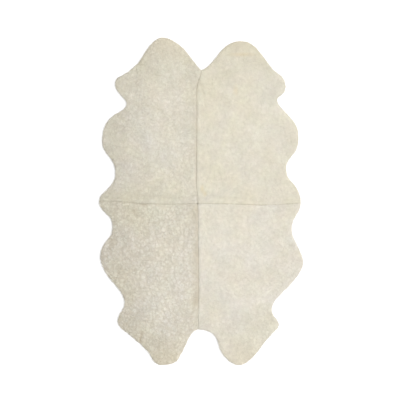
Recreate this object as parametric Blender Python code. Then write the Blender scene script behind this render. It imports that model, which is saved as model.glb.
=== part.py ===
"""Sheepskin rug: four pelts sewn edge to edge, lying flat on the floor with the wool up.

Metres, +Z up. The origin is on the floor under the middle of the rug, +Y runs along the rug and
+X across it. The pelts lie in two pairs, rump to rump, with their necks at the rug's two ends.
Each pelt is one solid. Its hide is the flat face on the floor, and its wool is the thick pile
above: level over the back, thinner at the flank, rolled over the hide's cut edge at the rim and
sunk along the seams, where the hides butt together.
"""

from collections import namedtuple
from math import cos, pi, radians, sin

import bmesh
import bpy
import numpy as np
from mathutils import Vector, noise
from mathutils.geometry import delaunay_2d_cdt, interpolate_bezier

# The pile, measured up from the floor.
PILE_TOP = 0.022  # tips of the wool over the back of a pelt
FLANK_DROP = 0.004  # how much lower the wool is at the flank
FLANK_REACH = 0.15  # how far in from the rim the wool gets its full height
EDGE_HEIGHT = 0.009  # where the rolled wool at the rim reaches furthest out
RIM_ROUND = 0.020  # how far in from the rim the roll ends
HIDE_INSET = 0.007  # how far the hide's cut edge lies under the rolled wool
SEAM_GAP = 0.0003  # between two pelts along a seam

# The wool's unevenness: tufts that stand a little higher, and a rim that isn't a clean line.
LUMP_HEIGHT = 0.0016
LUMP_SPACING = 0.045
RIM_UNEVENNESS = 0.0012

# The size of the facets.
EDGE_STEP = 0.014  # along the edges
TOP_STEP = 0.027  # over the back
ROW_INSETS = (0.004, 0.011, 0.022)  # how far in from the edge the rows of facets beside it lie
ROW_MARGIN = 0.97  # a row's corner is left out where it's nearer the edge than this share of that
CURVE_SAMPLES = 24  # on a curve between two landmarks
SAME_PLACE = 1e-7
SHARP_ANGLE = 50  # degrees between two facets, past which the edge between them isn't smoothed

WOOL_COLOUR = (0.71, 0.66, 0.54, 1.0)
WOOL_ROUGHNESS = 0.95

# A landmark on an edge: its place, the heading in which the edge passes it (degrees, 0 along +X
# and 90 along +Y), and how far it keeps that heading, as a share of the way to the next landmark.
Landmark = namedtuple("Landmark", "name across along heading reach")

NECK_NOTCH_UPPER = (0.002, 0.742)
NECK_NOTCH_LOWER = (-0.017, -0.723)
MEETING_POINT = (-0.019, -0.012)
HIND_END_LEFT = (-0.576, 0.003)
HIND_END_RIGHT = (0.564, -0.010)

# The free edge of each pelt, from the neck notch on the spine seam, round the neck, the foreleg
# and the belly, to the hind end of the cross seam.
FREE_EDGES = {
    "pelt_upper_left": (
        Landmark("neck notch", *NECK_NOTCH_UPPER, 137, 0.38),
        Landmark("neck inside", -0.130, 0.890, 145, 0.36),
        Landmark("neck crown", -0.217, 0.926, 178, 0.30),
        Landmark("neck outside", -0.329, 0.821, 240, 0.34),
        Landmark("foreleg front", -0.427, 0.723, 213, 0.36),
        Landmark("foreleg tip", -0.487, 0.668, 268, 0.40),
        Landmark("foreleg back", -0.447, 0.592, 309, 0.36),
        Landmark("armpit", -0.421, 0.552, 270, 0.40),
        Landmark("brisket", -0.480, 0.495, 213, 0.42),
        Landmark("belly", -0.558, 0.337, 270, 0.40),
        Landmark("girth", -0.518, 0.251, 312, 0.30),
        Landmark("flank", -0.484, 0.160, 270, 0.36),
        Landmark("hind leg", -0.530, 0.068, 226, 0.38),
        Landmark("hind end", *HIND_END_LEFT, 272, 0.38),
    ),
    "pelt_upper_right": (
        Landmark("neck notch", *NECK_NOTCH_UPPER, 14, 0.22),
        Landmark("neck inside", 0.098, 0.833, 53, 0.40),
        Landmark("neck crown", 0.228, 0.907, 0, 0.36),
        Landmark("neck outside", 0.366, 0.800, 307, 0.36),
        Landmark("foreleg front", 0.441, 0.719, 330, 0.36),
        Landmark("foreleg tip", 0.479, 0.650, 270, 0.36),
        Landmark("foreleg back", 0.457, 0.601, 215, 0.36),
        Landmark("armpit", 0.430, 0.571, 277, 0.30),
        Landmark("brisket", 0.484, 0.498, 313, 0.36),
        Landmark("belly", 0.551, 0.370, 270, 0.38),
        Landmark("girth", 0.516, 0.260, 226, 0.36),
        Landmark("flank", 0.481, 0.183, 270, 0.38),
        Landmark("hind leg", 0.510, 0.114, 316, 0.36),
        Landmark("hind end", *HIND_END_RIGHT, 270, 0.36),
    ),
    "pelt_lower_left": (
        Landmark("neck notch", *NECK_NOTCH_LOWER, 190, 0.30),
        Landmark("neck inside", -0.110, -0.856, 239, 0.36),
        Landmark("neck crown", -0.160, -0.914, 199, 0.36),
        Landmark("neck corner", -0.250, -0.916, 155, 0.36),
        Landmark("neck outside", -0.299, -0.849, 133, 0.36),
        Landmark("foreleg front", -0.402, -0.754, 137, 0.36),
        Landmark("foreleg tip", -0.472, -0.674, 90, 0.36),
        Landmark("armpit", -0.432, -0.575, 90, 0.36),
        Landmark("brisket", -0.500, -0.454, 130, 0.36),
        Landmark("belly", -0.568, -0.304, 90, 0.38),
        Landmark("girth", -0.528, -0.215, 48, 0.36),
        Landmark("flank", -0.501, -0.148, 90, 0.60),
        Landmark("hind leg", -0.539, -0.066, 136, 0.36),
        Landmark("hind end", *HIND_END_LEFT, 88, 0.38),
    ),
    "pelt_lower_right": (
        Landmark("neck notch", *NECK_NOTCH_LOWER, 355, 0.36),
        Landmark("neck bend", 0.064, -0.747, 325, 0.36),
        Landmark("neck inside", 0.101, -0.820, 285, 0.36),
        Landmark("neck crown", 0.208, -0.925, 352, 0.24),
        Landmark("neck outside", 0.327, -0.840, 55, 0.36),
        Landmark("foreleg front", 0.417, -0.733, 44, 0.36),
        Landmark("foreleg tip", 0.439, -0.688, 100, 0.36),
        Landmark("armpit", 0.399, -0.616, 90, 0.36),
        Landmark("brisket", 0.475, -0.500, 47, 0.36),
        Landmark("belly", 0.576, -0.342, 92, 0.30),
        Landmark("girth", 0.524, -0.208, 114, 0.36),
        Landmark("flank", 0.512, -0.150, 90, 0.38),
        Landmark("hind end", *HIND_END_RIGHT, 88, 0.36),
    ),
}

# The four seams, each from the middle of the rug, where they meet, out to its end on the rim.
SEAMS = {
    "upper_spine": (
        Landmark("meeting point", *MEETING_POINT, 93, 0.36),
        Landmark("loin", -0.027, 0.120, 90, 0.36),
        Landmark("shoulder", -0.024, 0.520, 90, 0.36),
        Landmark("withers", -0.023, 0.650, 84, 0.36),
        Landmark("neck notch", *NECK_NOTCH_UPPER, 88, 0.36),
    ),
    "lower_spine": (
        Landmark("meeting point", *MEETING_POINT, 272, 0.36),
        Landmark("loin", -0.015, -0.280, 272, 0.36),
        Landmark("shoulder", -0.013, -0.480, 270, 0.36),
        Landmark("neck notch", *NECK_NOTCH_LOWER, 272, 0.36),
    ),
    "left_cross": (
        Landmark("meeting point", *MEETING_POINT, 181, 0.36),
        Landmark("rump", -0.200, -0.015, 179, 0.36),
        Landmark("thigh", -0.400, -0.007, 176, 0.36),
        Landmark("hind end", *HIND_END_LEFT, 180, 0.36),
    ),
    "right_cross": (
        Landmark("meeting point", *MEETING_POINT, 0, 0.36),
        Landmark("rump", 0.200, -0.015, 359, 0.36),
        Landmark("thigh", 0.370, -0.020, 1, 0.36),
        Landmark("hind end", *HIND_END_RIGHT, 3, 0.36),
    ),
}

# How much of its height above the edge the wool keeps in the middle of each seam.
SEAM_SHARES = {
    "upper_spine": 0.56,
    "lower_spine": 0.60,
    "left_cross": 0.64,
    "right_cross": 0.76,
}

# The two seams that close each pelt's free edge, and how far into the pelt the dip along each
# reaches. The lower left pelt's wool parts from the spine seam in a wide trough.
Sewing = namedtuple("Sewing", "seam dip_reach")
PELT_SEAMS = {
    "pelt_upper_left": (Sewing("left_cross", 0.024), Sewing("upper_spine", 0.012)),
    "pelt_upper_right": (Sewing("right_cross", 0.016), Sewing("upper_spine", 0.016)),
    "pelt_lower_left": (Sewing("left_cross", 0.018), Sewing("lower_spine", 0.042)),
    "pelt_lower_right": (Sewing("right_cross", 0.020), Sewing("lower_spine", 0.010)),
}


def clear_scene():
    """Removes every object of the startup scene."""
    for obj in list(bpy.data.objects):
        bpy.data.objects.remove(obj)


def wool_material():
    """The cream wool of all four pelts."""
    material = bpy.data.materials.new("cream_wool")
    material.use_nodes = True
    shader = material.node_tree.nodes["Principled BSDF"]
    shader.inputs["Base Color"].default_value = WOOL_COLOUR
    shader.inputs["Roughness"].default_value = WOOL_ROUGHNESS
    shader.inputs["Metallic"].default_value = 0.0
    return material


def heading_vector(degrees):
    """The unit vector that points in a heading."""
    return Vector((cos(radians(degrees)), sin(radians(degrees)), 0.0))


def smooth_curve(landmarks):
    """Closely spaced points on the curve that passes each landmark in its heading."""
    points = []
    for start, end in zip(landmarks, landmarks[1:]):
        here = Vector((start.across, start.along, 0.0))
        there = Vector((end.across, end.along, 0.0))
        chord = (there - here).length
        leaving = here + heading_vector(start.heading) * chord * start.reach
        arriving = there - heading_vector(end.heading) * chord * end.reach
        points += interpolate_bezier(here, leaving, arriving, there, CURVE_SAMPLES)[:-1]
    points.append(there)
    return np.array([point[:2] for point in points])


def evenly_spaced(curve, step):
    """Points about a step apart along a curve, with both its ends."""
    lengths = np.linalg.norm(np.diff(curve, axis=0), axis=1)
    travelled = np.concatenate([[0.0], np.cumsum(lengths)])
    stops = np.linspace(0.0, travelled[-1], round(travelled[-1] / step) + 1)
    return np.column_stack([np.interp(stops, travelled, curve[:, axis]) for axis in (0, 1)])


def distance_to_line(points, line):
    """How far each point is from the nearest place on a line of straight pieces."""
    nearest = np.full(len(points), np.inf)
    for start, end in zip(line, line[1:]):
        along = end - start
        share = np.clip((points - start) @ along / (along @ along), 0.0, 1.0)
        gaps = np.linalg.norm(points - start - share[:, None] * along, axis=1)
        nearest = np.minimum(nearest, gaps)
    return nearest


def inward_normals(loop):
    """At each corner of a counter-clockwise loop, the vector that insets both its edges by 1."""
    edges = np.roll(loop, -1, axis=0) - loop
    edges /= np.linalg.norm(edges, axis=1)[:, None]
    after = np.column_stack([-edges[:, 1], edges[:, 0]])
    before = np.roll(after, 1, axis=0)
    mean = after + before
    return 2.0 * mean / (mean * mean).sum(axis=1)[:, None]


def is_counter_clockwise(loop):
    """Whether a closed loop of points runs counter-clockwise."""
    nexts = np.roll(loop, -1, axis=0)
    return (loop[:, 0] * nexts[:, 1] - loop[:, 1] * nexts[:, 0]).sum() > 0.0


def quarter_round(distance, reach):
    """0 at the edge and 1 from a reach inwards, rising as a quarter of an ellipse."""
    return np.sqrt(1.0 - (1.0 - np.clip(distance / reach, 0.0, 1.0)) ** 2)


def ease(share):
    """0 to 1 with level ends."""
    return 0.5 - 0.5 * np.cos(pi * np.clip(share, 0.0, 1.0))


def noise_at(points, spacing, layer):
    """Smooth noise of about -1 to 1 whose lumps are a spacing apart."""
    scaled = (Vector((x / spacing, y / spacing, layer)) for x, y in points)
    return np.array([noise.noise(place) for place in scaled])


class Pelt:
    """The plan of one pelt: its free edge, its two seams and the loop that they close."""

    def __init__(self, name):
        self.sewings = PELT_SEAMS[name]
        self.seams = [evenly_spaced(smooth_curve(SEAMS[s.seam]), EDGE_STEP) for s in self.sewings]
        cross, spine = self.seams
        self.free_edge = evenly_spaced(smooth_curve(FREE_EDGES[name]), EDGE_STEP)
        loop = np.concatenate([self.free_edge[:-1], cross[:0:-1], spine[:-1]])
        sewn = np.arange(len(loop)) >= len(self.free_edge) - 1
        sewn[0] = True
        if not is_counter_clockwise(loop):
            loop, sewn = loop[::-1].copy(), sewn[::-1].copy()
        self.sewn = sewn
        uneven = RIM_UNEVENNESS * noise_at(loop, EDGE_STEP, 1.0)
        inset = np.where(sewn, SEAM_GAP / 2, uneven)
        self.loop = loop + inward_normals(loop) * inset[:, None]

    def ring(self, inset):
        """The loop moved inwards by one distance, or by one for each of its points."""
        return self.loop + inward_normals(self.loop) * np.reshape(inset, (-1, 1))

    def hide_ring(self):
        """The hide's outline on the floor: under the roll at the rim, out to the seams elsewhere."""
        from_seam = np.minimum(*(distance_to_line(self.loop, seam) for seam in self.seams))
        return self.ring(HIDE_INSET * ease(from_seam / RIM_ROUND) * ~self.sewn)

    def covers(self, points, margin=0.0):
        """Whether each point is inside the loop, by at least a margin."""
        x, y = points[:, :1], points[:, 1:]
        start, end = self.loop, np.roll(self.loop, -1, axis=0)
        run, rise = (end - start).T
        level = (start[:, 1] > y) != (end[:, 1] > y)
        ahead = ((start[:, 0] - x) * rise + (y - start[:, 1]) * run) * rise > 0.0
        inside = (level & ahead).sum(axis=1) % 2 == 1
        closed = np.concatenate([self.loop, self.loop[:1]])
        return inside & (distance_to_line(points, closed) >= margin)

    def height(self, points):
        """How high the wool stands at each point."""
        from_rim = distance_to_line(points, self.free_edge)
        full = PILE_TOP - FLANK_DROP * (1.0 - ease(from_rim / FLANK_REACH))
        rise = quarter_round(from_rim, RIM_ROUND)
        for line, sewing in zip(self.seams, self.sewings):
            kept = SEAM_SHARES[sewing.seam]
            rise *= kept + (1.0 - kept) * quarter_round(distance_to_line(points, line), sewing.dip_reach)
        lump = LUMP_HEIGHT * noise_at(points, LUMP_SPACING, 0.0)
        return EDGE_HEIGHT + (full + lump - EDGE_HEIGHT) * rise

    def top_points(self):
        """Points for the facets inside the loop: rows along its edge, a triangular grid beyond."""
        low, high = self.loop.min(axis=0), self.loop.max(axis=0)
        row_step = TOP_STEP * sin(pi / 3)
        grid = [
            (x + TOP_STEP / 2 * (row % 2), y)
            for row, y in enumerate(np.arange(low[1], high[1], row_step))
            for x in np.arange(low[0], high[0], TOP_STEP)
        ]
        rows = [(self.ring(inset), inset * ROW_MARGIN) for inset in ROW_INSETS]
        rows.append((np.array(grid), ROW_INSETS[-1] + TOP_STEP / 2))
        return np.concatenate([row[self.covers(row, margin)] for row, margin in rows])


def wall(bm, lower, upper):
    """A band of faces between two rings of equal count."""
    count = len(lower)
    for i in range(count):
        after = (i + 1) % count
        bm.faces.new((lower[i], lower[after], upper[after], upper[i]))


def cover_top(bm, pelt, rim):
    """Faces over the pelt's wool, inside the ring of vertices at the height of its edge."""
    inside = pelt.top_points()
    plan = np.concatenate([pelt.loop, inside])
    edges = [(i, (i + 1) % len(rim)) for i in range(len(rim))]
    faces = delaunay_2d_cdt([Vector(point) for point in plan], edges, [], 0, SAME_PLACE)[2]
    faces = np.array(faces)[pelt.covers(plan[np.array(faces)].mean(axis=1))]
    vertices = list(rim)
    for (x, y), z in zip(inside, pelt.height(inside)):
        vertices.append(bm.verts.new((x, y, z)))
    for face in faces:
        bm.faces.new([vertices[index] for index in face])


def pelt_object(name, material):
    """One pelt as a closed solid: hide on the floor, rim and seam walls, rolled edge and back."""
    pelt = Pelt(name)
    bm = bmesh.new()
    hide = [bm.verts.new((x, y, 0.0)) for x, y in pelt.hide_ring()]
    heights = np.where(pelt.sewn, pelt.height(pelt.loop), EDGE_HEIGHT)
    rim = [bm.verts.new((x, y, z)) for (x, y), z in zip(pelt.loop, heights)]
    bm.faces.new(hide[::-1])
    wall(bm, hide, rim)
    cover_top(bm, pelt, rim)
    mesh = bpy.data.meshes.new(name)
    bm.to_mesh(mesh)
    bm.free()
    mesh.materials.append(material)
    mesh.shade_smooth()
    mesh.set_sharp_from_angle(angle=radians(SHARP_ANGLE))
    obj = bpy.data.objects.new(name, mesh)
    bpy.context.scene.collection.objects.link(obj)
    return obj


def main():
    """Lays out the four pelts under one empty at the middle of the rug."""
    clear_scene()
    rug = bpy.data.objects.new("rug", None)
    bpy.context.scene.collection.objects.link(rug)
    material = wool_material()
    for name in FREE_EDGES:
        pelt_object(name, material).parent = rug


main()
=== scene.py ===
"""The looks of a sheepskin rug: the hides, the fleeces on them with their locks, and the light.

Metres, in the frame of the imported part: the hides lie on z = 0, +Y runs along the rug and +X
across it. Each pelt's solid gives its fleece its form. On it lie short pointed locks of wool, which
swirl together in tufts, some of them across a seam. Under it lies the hide, a thin sheet of suede,
sewn to its neighbours edge to edge. The locks' places differ a little from run to run.
"""

from collections import namedtuple
from math import pi, radians

import bmesh
import bpy
import numpy as np
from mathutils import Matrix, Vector, noise
from mathutils.bvhtree import BVHTree
from mathutils.kdtree import KDTree


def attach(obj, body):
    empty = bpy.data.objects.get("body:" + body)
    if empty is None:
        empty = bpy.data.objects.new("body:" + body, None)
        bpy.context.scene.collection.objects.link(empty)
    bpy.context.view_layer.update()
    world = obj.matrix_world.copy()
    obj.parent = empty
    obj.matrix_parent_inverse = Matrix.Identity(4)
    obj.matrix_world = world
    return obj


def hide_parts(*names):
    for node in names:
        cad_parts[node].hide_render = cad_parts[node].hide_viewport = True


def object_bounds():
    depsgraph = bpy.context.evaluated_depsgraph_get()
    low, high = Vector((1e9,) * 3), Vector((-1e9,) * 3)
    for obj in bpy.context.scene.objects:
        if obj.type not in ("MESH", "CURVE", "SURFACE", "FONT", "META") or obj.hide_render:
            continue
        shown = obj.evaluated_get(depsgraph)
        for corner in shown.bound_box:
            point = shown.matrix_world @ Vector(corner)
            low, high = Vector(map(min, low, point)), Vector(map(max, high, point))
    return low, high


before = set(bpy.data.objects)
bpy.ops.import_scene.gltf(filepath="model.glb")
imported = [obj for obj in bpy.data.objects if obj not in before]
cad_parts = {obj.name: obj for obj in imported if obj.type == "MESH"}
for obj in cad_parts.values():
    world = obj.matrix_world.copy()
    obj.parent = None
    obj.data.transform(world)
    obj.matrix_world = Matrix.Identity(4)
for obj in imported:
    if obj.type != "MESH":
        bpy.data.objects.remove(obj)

CAD_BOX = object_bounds()

# The hide under the wool, with its edges pared from below along the seams.
HIDE_THICKNESS = 0.0016
SEAM_RECESS_WIDTH = 0.006
SEAM_RECESS = 0.0008
SEAM_REACH = 0.0006  # two hides' edges this close to each other are sewn together
SEAM_STEP = 0.0008  # between the points of a seam that distances are measured to
HIDE_SHARP_ANGLE = 40  # degrees between two faces, past which the edge between them stays sharp
ON_FLOOR = 1e-5  # corners of a solid below this height are on its flat underside
PLACE_DIGITS = 6  # corners that agree to so many digits of a metre are one corner

# The thread of the seams, on the underside.
STITCH_PITCH = 0.0035
STITCH_WIDTH = 0.0030
THREAD_RADIUS = 0.00028
THREAD_SIDES = 5
THREAD_HEIGHT = 0.55  # of its middle, as a share of the recess that it runs in

# The fleece under its locks.
FACET = 0.0046
SMOOTHING = 0.5
SMOOTHING_ROUNDS = 4
LOWEST_WOOL = 0.0022  # the wool starts above this height
FLEECE_BOTTOM = 0.9  # the height of its underside, as a share of the hide's thickness
FLEECE_TIP = 0.75  # how near the tips it counts as (1 at them), for painted shade under the locks
SEAM_OVERLAP = 0.0002  # the wool of each pelt reaches this far over the middle of a seam
WALL_REACH = 0.003  # below its lip, wool this close to a seam's middle is moved there
LIP_DROP = 0.0004  # how far below the lip of a seam the wool of the two pelts still touches
LOWEST_LIP = 0.012  # corners of a solid beside a seam and above this height are on its lip
SEAM_SOFTENING = 0.010  # how far from a seam's middle the clumps get their full relief
SEAM_SHADOW = 0.008  # how far from a seam's middle its painted shade reaches
SEAM_SHADE = 0.10
SEAM_SHADE_LAYER = 3.0  # the layer of noise that makes this painted shade patchy
SEAM_UPRIGHT = 2.0  # how strongly the wool at a seam stands upright, against 1 for its own way

# The clumps that the wool stands in, with partings between them, and the longer swells.
CLUMP_SPACING = 0.024
CLUMP_RELIEF = 0.0013
CLUMP_BASE = 0.7  # the share of a clump's height that is at the fleece's own height
PARTING_SHARE = 0.35  # of the spacing: how much nearer its own middle is, at its full height
PARTING_OPENNESS = 0.55  # of the wool in a parting, for painted shade there, where 1 is on a clump
SWELL_SPACING = 0.055
SWELL_RELIEF = 0.0011
WARP_SPACING = 0.03
WARP = 0.25  # how far the clumps are warped, as a share of their spacing
LAYER_STEP = (1.0, 1.7, 2.3)  # from one layer of noise to the next, in lumps

# The locks: short, pointed and curved. Those of one tuft swirl round its middle. Beside a seam
# some lie across it instead.
LOCK_SEED = 100  # added to the seed of a fleece
LOCK_SPACING = 0.0048
MOST_LOCKS = 120000.0  # tried for each square metre, before those too near another go
LOCK_RINGS = 3
LOCK_SIDES = 3  # the first edge is its top one
UNDER_SIDE = 1  # the side between its two lower edges
LOCK_LENGTH = 0.0135
LOCK_RADIUS = 0.0028
LOCK_FULLNESS = 1.2  # how many radii wide its taper starts
LOCK_TAPER = 0.7  # the power by which it narrows: below 1 it stays full for longer
LOCK_BREADTH = 1.20  # of its section across, as a share of its radius
LOCK_DEPTH = 0.55  # of its section upwards
LOCK_ROOT = -0.0018  # how deep its root sits in the fleece
LOCK_ARCH = 0.70  # its height follows this share of half a wave, over its length
LOCK_ARCH_POWER = 0.8
LOCK_UPRIGHT = 2.0  # the weight of the way up at its middle, against 1 for that at each point
LOWEST_LOCK = 0.0004
BEND_SPREAD = (0.3, 1.2)  # how far a lock curves over its length, in half turns
LENGTH_SPREAD = (0.7, 1.25)
LIFT_SPREAD = (0.5, 1.5)
GIRTH_SPREAD = (0.75, 1.25)
TINT_SPREAD = (0.95, 1.05)
STEEPEST = -0.7  # the least that the wool's surface faces upwards where a lock stands
STEEPEST_AT_SEAM = 0.4
TUFT_SPACING = 0.0135
TUFT_HASHES = (7919.0, 6101.0)  # make a tuft's two own numbers from its place
MOST_SWIRL = 1.2  # between a lock and the way to its tuft's middle, in radians
TUFT_SPREAD = 0.45  # how unlike each other the locks of a tuft lie, in radians
COARSENESS = (0.4, 1.5)  # of grain, lift and turn, from inside the flank reach to beyond it
CROSSING_REACH = 0.006  # how far from a seam's middle a lock may lie across it
CROSSING_SHARE = 0.8  # of those locks that do, where the seam is neither bare nor well covered
CROSSING_PATCHINESS = 1.5  # how much that share varies along a seam
CROSSING_LAYER = 5.0  # the layer of noise that it varies by
CROSSING_SWIRL = 0.3  # of its usual swirl, for a lock that lies across a seam
ATLAS_MARGIN = 0.10  # of a lock's cell in the map for a bake of its colours

# How near to the tips of the wool a lock's corners count as, where 1 is at them and 0 at the roots.
# The wool's material paints shade where this is low: at the roots and along the lower edges.
ROOT_TIP = 0.3
RING_TIPS = (0.5, 1.0)  # from its first ring to its last
SIDE_TIPS = (1.0, 0.8, 0.8)  # on its top edge and its two lower ones, as a share of the ring's
END_TIP = 0.95

# The places of a lock's fibres in their noise: drawn out along the lock, and apart from the next's.
STRAND_STRETCH = 0.12
STRAND_STEP = 0.01

# Each fleece's own look. Lift is how far the middle of a lock stands up. Relief scales the clumps
# and the depth of the locks. Shade is how much painted shade darkens the wool towards its roots
# and in each furrow of its curls, flank how much painted shade darkens it at its flank (below 0,
# painted light) and grain how much one lock differs from the next. Turn is how far a lock's
# shading turns from its top to its lower edges, in radians. The last three are its cream.
Fleece = namedtuple("Fleece", "pelt seed lift relief shade flank grain turn red green blue")
FLEECES = (
    Fleece("upper_left", 11, 0.0015, 1.0, 0.20, 0.055, 0.11, 0.7, 0.772, 0.745, 0.660),
    Fleece("upper_right", 12, 0.0007, 0.7, 0.11, 0.0, 0.03, 0.4, 0.735, 0.703, 0.603),
    Fleece("lower_left", 13, 0.0020, 1.3, 0.30, 0.055, 0.28, 0.9, 0.840, 0.815, 0.733),
    Fleece("lower_right", 14, 0.0010, 0.8, 0.14, -0.01, 0.09, 0.5, 0.770, 0.741, 0.669),
)

# Soft troughs in the wool where it lies parted or creased, each from one place to another. Shade
# is how much less open the wool is in the middle of one, which paints shade there.
Crease = namedtuple("Crease", "pelt x1 y1 x2 y2 width depth shade")
CREASES = (
    Crease("upper_left", -0.353, 0.783, -0.240, 0.712, 0.016, 0.0014, 0.40),
    Crease("upper_left", -0.313, 0.545, -0.223, 0.514, 0.007, 0.0018, 0.50),
    Crease("upper_left", -0.364, 0.030, -0.200, 0.020, 0.013, 0.0014, 0.40),
    Crease("upper_left", -0.200, 0.022, -0.050, 0.026, 0.007, 0.0008, 0.25),
    Crease("upper_left", -0.560, 0.020, -0.400, 0.018, 0.007, 0.0012, 0.35),
    Crease("upper_left", -0.029, 0.715, -0.031, 0.420, 0.012, 0.0006, 0.42),
    Crease("upper_left", -0.031, 0.440, -0.033, 0.030, 0.006, 0.0008, 0.50),
    Crease("upper_right", -0.012, 0.690, 0.012, 0.610, 0.006, 0.0018, 0.75),
    Crease("upper_right", 0.012, 0.610, 0.024, 0.530, 0.006, 0.0014, 0.55),
    Crease("upper_right", 0.070, 0.020, 0.190, 0.019, 0.007, 0.0012, 0.45),
    Crease("upper_right", 0.385, 0.608, 0.427, 0.580, 0.016, 0.0012, 0.25),
    Crease("upper_right", 0.478, 0.009, 0.560, 0.008, 0.006, 0.0012, 0.50),
    Crease("lower_left", -0.028, -0.040, -0.023, -0.300, 0.020, 0.0008, 0.42),
    Crease("lower_left", -0.023, -0.300, -0.024, -0.560, 0.026, 0.0010, 0.46),
    Crease("lower_left", -0.028, -0.545, -0.053, -0.648, 0.012, 0.0018, 0.38),
    Crease("lower_left", -0.358, -0.006, -0.313, -0.020, 0.008, 0.0016, 0.65),
    Crease("lower_left", -0.382, -0.052, -0.362, -0.084, 0.007, 0.0016, 0.65),
    Crease("lower_left", -0.333, -0.735, -0.345, -0.800, 0.009, 0.0022, 0.80),
    Crease("lower_left", -0.505, -0.215, -0.497, -0.240, 0.007, 0.0016, 0.70),
    Crease("lower_left", -0.138, -0.738, -0.098, -0.760, 0.008, 0.0014, 0.35),
    Crease("lower_right", 0.261, -0.088, 0.261, -0.172, 0.006, 0.0014, 0.25),
    Crease("lower_right", 0.357, -0.407, 0.456, -0.506, 0.009, 0.0010, 0.15),
)

# From where to where, off the rug's middle, the flank gets painted shade and the neck browns.
FLANK_REACH = (0.22, 0.56)
NECK_REACH = (0.74, 0.93)
NECK_BROWNNESS = 0.65
RIM_RISE = (0.004, 0.019)  # on the rim's roll, between these heights, painted shade grows downwards
RIM_SHADE = 0.035

# What a cast leaves of the cream's red, green and blue. The cream drifts between the first two.
ROSY = (1.006, 0.995, 1.004, 1.0)
OLIVE = (0.996, 1.004, 0.988, 1.0)
YELLOWED = (0.99, 0.975, 0.92, 1.0)
BROWNED = (0.93, 0.88, 0.76, 1.0)
# Painted shade: what the wool's deepest shade leaves of the cream, dark and brown.
PAINTED_ROOT_SHADE = (0.60, 0.53, 0.43, 1.0)
ROOT_SHADE = 2.5  # how far painted shade turns the wool to that colour there, for a shade of 1
# Painted shade in each furrow of the curls' bump, and painted light (above 1) outside it.
FURROW_SHADE = 0.4
FURROW_LIGHT = 1.02

# How the wool and the suede vary from place to place. A drift is a noise, its scale in lumps a
# metre, and a range of its values that becomes another range, of a factor or of a blend.
Drift = namedtuple("Drift", "scale detail roughness low high first last")
YELLOWING = Drift(6.0, 3.0, 0.5, 0.38, 0.70, 0.0, 1.0)
CASTS = Drift(17.0, 4.0, 0.5, 0.38, 0.62, 0.0, 1.0)
CLOUDS = Drift(11.0, 3.0, 0.5, 0.3, 0.7, 0.95, 1.045)
TUFTS = Drift(42.0, 2.0, 0.5, 0.3, 0.7, 0.955, 1.04)
STREAKS = Drift(1100.0, 3.0, 0.6, 0.38, 0.60, 0.87, 1.05)
BLOTCHES = Drift(14.0, 4.0, 0.5, 0.35, 0.7, 0.0, 1.0)

# The noises that are also relief. A bump has a strength and a height.
CURLS = {"scale": 150.0, "detail": 4.0, "roughness": 0.6, "swirl": 2.5}
CURL_RANGE = (0.35, 0.6)  # of their noise, from the depth of a furrow to outside it
CURL_HEIGHT = 0.6  # of a curl, as a share of a fibre's
FIBRES = {"scale": 1300.0, "detail": 2.0, "roughness": 0.6}
FIBRE_BUMP = (1.0, 0.0022)
NAP = {"scale": 650.0, "detail": 3.0, "roughness": 0.7}
NAP_BUMP = (0.35, 0.0004)
NAP_RANGE = (0.3, 0.7)
# The suede's tone follows the nap's bump: painted shade in its hollows, light on its tops.
NAP_LIGHT = (0.93, 1.06)  # what that range of its noise leaves of the suede's tone
PLIES = {"scale": 1800.0, "detail": 1.0}
PLY_BUMP = (0.3, 0.0001)

# The suede's two tones and the thread's.
SUEDE_PALE = (0.60, 0.53, 0.42, 1.0)
SUEDE_DULL = (0.50, 0.43, 0.33, 1.0)
THREAD_PALE = (0.62, 0.57, 0.46, 1.0)
THREAD_DULL = (0.48, 0.43, 0.33, 1.0)

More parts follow.
